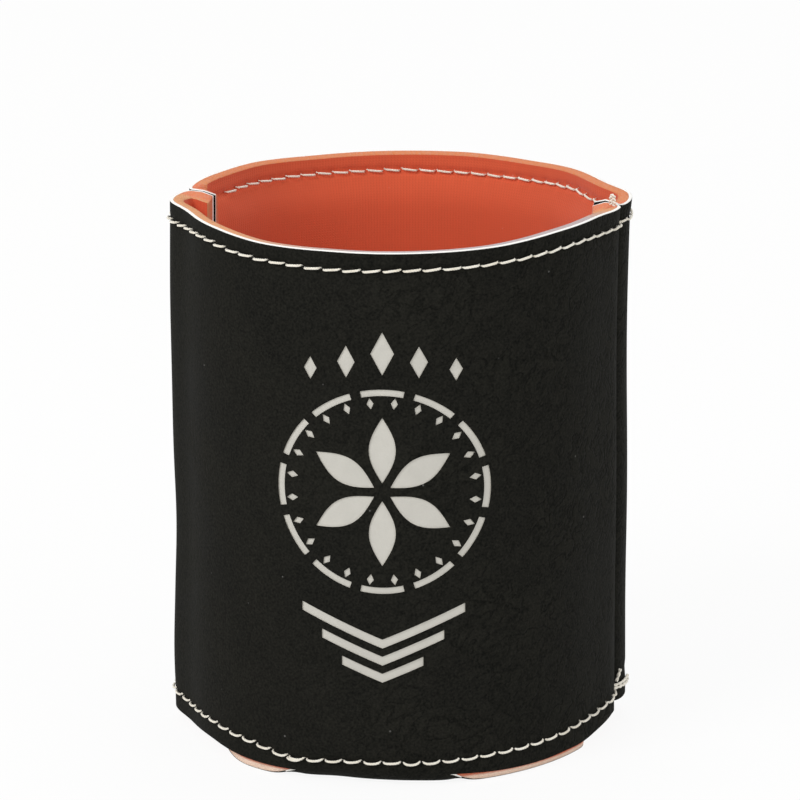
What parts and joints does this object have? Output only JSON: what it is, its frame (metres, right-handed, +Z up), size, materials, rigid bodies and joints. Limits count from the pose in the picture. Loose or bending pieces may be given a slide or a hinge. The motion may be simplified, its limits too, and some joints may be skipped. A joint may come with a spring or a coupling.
{
  "type": "leatherette beverage holder",
  "caption": "Soft leatherette sleeve with a foam lining, open at the top, sewn at two sides and folded under a round base, for a drink can.",
  "frame": {"origin": "on the pocket's axis, on the underside of the round base", "axes": "+Z up out of the open top, -Y out of the engraved front panel, side seams at -X and +X"},
  "size_m": [0.0818, 0.0768, 0.0978],
  "materials": {
    "leatherette": "matte, fine nubuck-like grain, with a light core at cut edges and a pale grey engraving",
    "foam": "matte orange knit-faced foam with peach cut edges",
    "thread": "twisted cream sewing thread"
  },
  "bodies": {
    "root": {"leatherette_cover": "leatherette", "foam_lining": "foam", "top_thread_front": "thread", "top_thread_back": "thread", "bottom_thread_front": "thread", "bottom_thread_back": "thread", "top_bobbin_front": "thread", "top_bobbin_back": "thread", "bottom_bobbin_front": "thread", "bottom_bobbin_back": "thread", "seam_thread_left": "thread", "seam_thread_right": "thread"}
  },
  "joints": []
}
